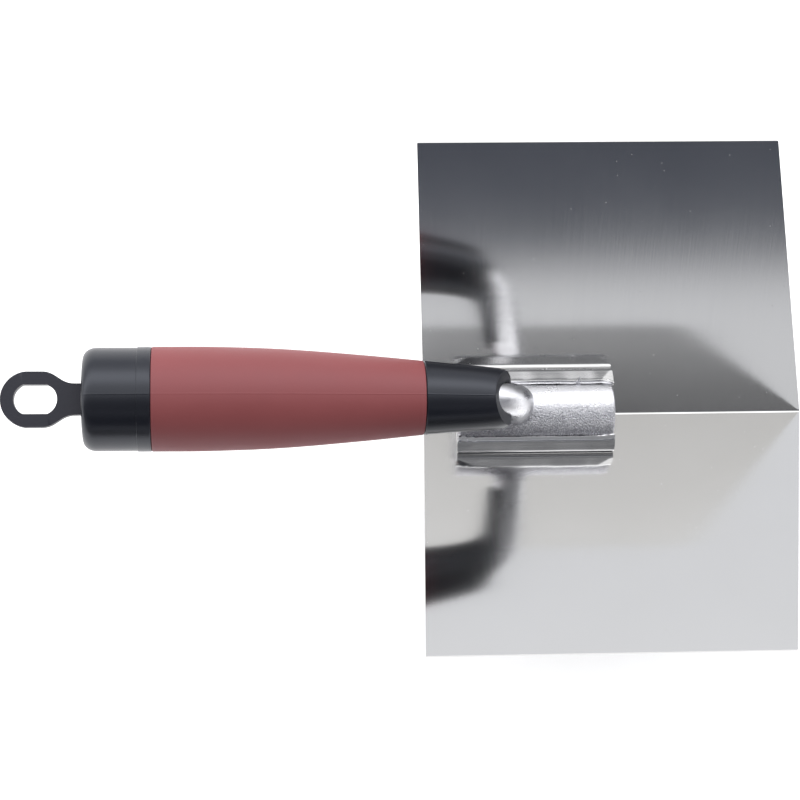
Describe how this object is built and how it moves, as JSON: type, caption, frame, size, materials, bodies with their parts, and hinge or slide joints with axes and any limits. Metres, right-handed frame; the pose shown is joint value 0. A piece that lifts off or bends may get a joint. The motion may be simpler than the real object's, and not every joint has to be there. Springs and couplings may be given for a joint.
{
  "type": "inside corner trowel",
  "caption": "Inside corner drywall trowel: a V-folded stainless blade on a cast post, with an offset soft-grip handle and a hang tab.",
  "frame": {"origin": "middle of the overall length, in the symmetry plane, at the underside of the blade's fold", "axes": "+X along the fold from the handle to the toe, +Z along the bisector of the two wings towards the handle, +Y towards the left wing seen from the handle"},
  "size_m": [0.2563, 0.156, 0.0769],
  "materials": {
    "blade_steel": "fine brushed stainless steel",
    "channel_steel": "bright zinc-plated steel",
    "cast_aluminium": "tumbled die casting",
    "core_plastic": "satin black moulding",
    "red_grip": "matte soft-touch",
    "black_rubber": "satin soft-touch"
  },
  "bodies": {
    "root": {"blade": "blade_steel", "mount_channel": "channel_steel", "mount_casting": "cast_aluminium", "handle_core": "core_plastic", "grip_sleeve": "red_grip", "neck_boot": "black_rubber", "end_cap": "black_rubber"}
  },
  "joints": []
}
